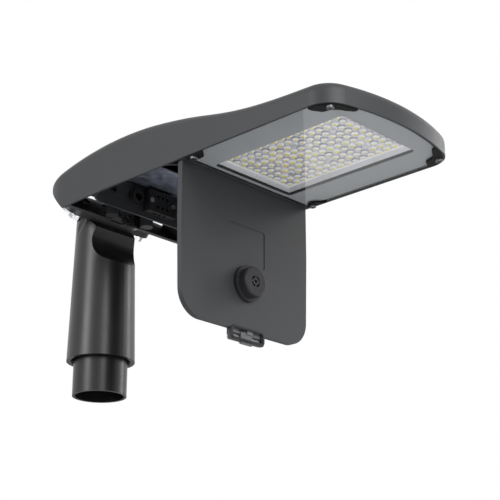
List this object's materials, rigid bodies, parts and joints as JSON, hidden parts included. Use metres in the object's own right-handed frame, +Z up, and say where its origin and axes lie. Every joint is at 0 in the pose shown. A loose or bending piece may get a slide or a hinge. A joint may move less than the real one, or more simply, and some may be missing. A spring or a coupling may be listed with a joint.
{
  "type": "led street light",
  "caption": "Flat LED street light on a pole-top adaptor, with a glass optical window and a hinged gear door hanging open.",
  "frame": {"origin": "centre of the pole stub's lower end, on the pole's axis", "axes": "+Z up along the pole, +X along the luminaire towards its nose, +Y across it"},
  "size_m": [0.475, 0.191, 0.2495],
  "materials": {
    "housing_paint": "grey powder coat",
    "adaptor_paint": "grey powder coat",
    "pole_paint": "grey powder coat",
    "clip_paint": "matt black",
    "stainless": "bright stainless steel",
    "galvanised": "galvanised sheet steel",
    "glass": "clear toughened glass with a grey printed border",
    "rubber": "black silicone rubber",
    "dark_mask": "dark sheet",
    "reflector": "pale matt plastic",
    "board": "white lacquered metal-core board",
    "phosphor": "yellow phosphor",
    "lens": "clear acrylic",
    "dark_plastic": "dark grey plastic",
    "grey_plastic": "grey plastic",
    "driver_case": "dark painted aluminium case"
  },
  "bodies": {
    "luminaire": {"housing": "housing_paint", "pole_stub": "pole_paint", "pole_adaptor": "adaptor_paint", "adaptor_washers": "stainless", "adaptor_bolts": "stainless", "set_screws": "stainless", "glass": "glass", "glass_gasket": "rubber", "nose_clips": "clip_paint", "rear_clips": "clip_paint", "clip_screws": "stainless", "mask": "dark_mask", "reflector_frame": "reflector", "led_board": "board", "led_chips": "phosphor", "module_screws": "stainless", "mounting_plate": "galvanised", "plate_screws": "stainless", "terminal_block": "dark_plastic", "terminal_screws": "stainless", "surge_arrester": "dark_plastic", "cable_gland": "dark_plastic", "gland_seal": "rubber", "gland_nut": "dark_plastic", "breather_valve": "dark_plastic", "keeper": "stainless", "keeper_screws": "stainless", "hinge_pins": "stainless", "lens_module_1": "lens", "lens_module_2": "lens", "lens_module_3": "lens", "lens_module_4": "lens", "lens_module_5": "lens", "lens_module_6": "lens"},
    "door": {"door": "housing_paint", "door_gasket": "rubber", "gear_tray": "galvanised", "tray_screws": "stainless", "driver": "driver_case", "driver_screws": "stainless", "sensor_socket": "grey_plastic", "socket_gasket": "rubber", "socket_nut": "dark_plastic", "socket_contacts": "stainless"},
    "latch": {"latch_slide": "clip_paint"}
  },
  "joints": [
    {"name": "door_hinge", "type": "hinge", "parent": "luminaire", "child": "door", "pos_m": [0.2225, 0, 0.191], "axis": [0, 1, 0], "range_deg": [0, 90]},
    {"name": "latch_travel", "type": "slide", "parent": "door", "child": "latch", "axis": [0, 0, -1], "range_m": [0, 0.005]}
  ]
}
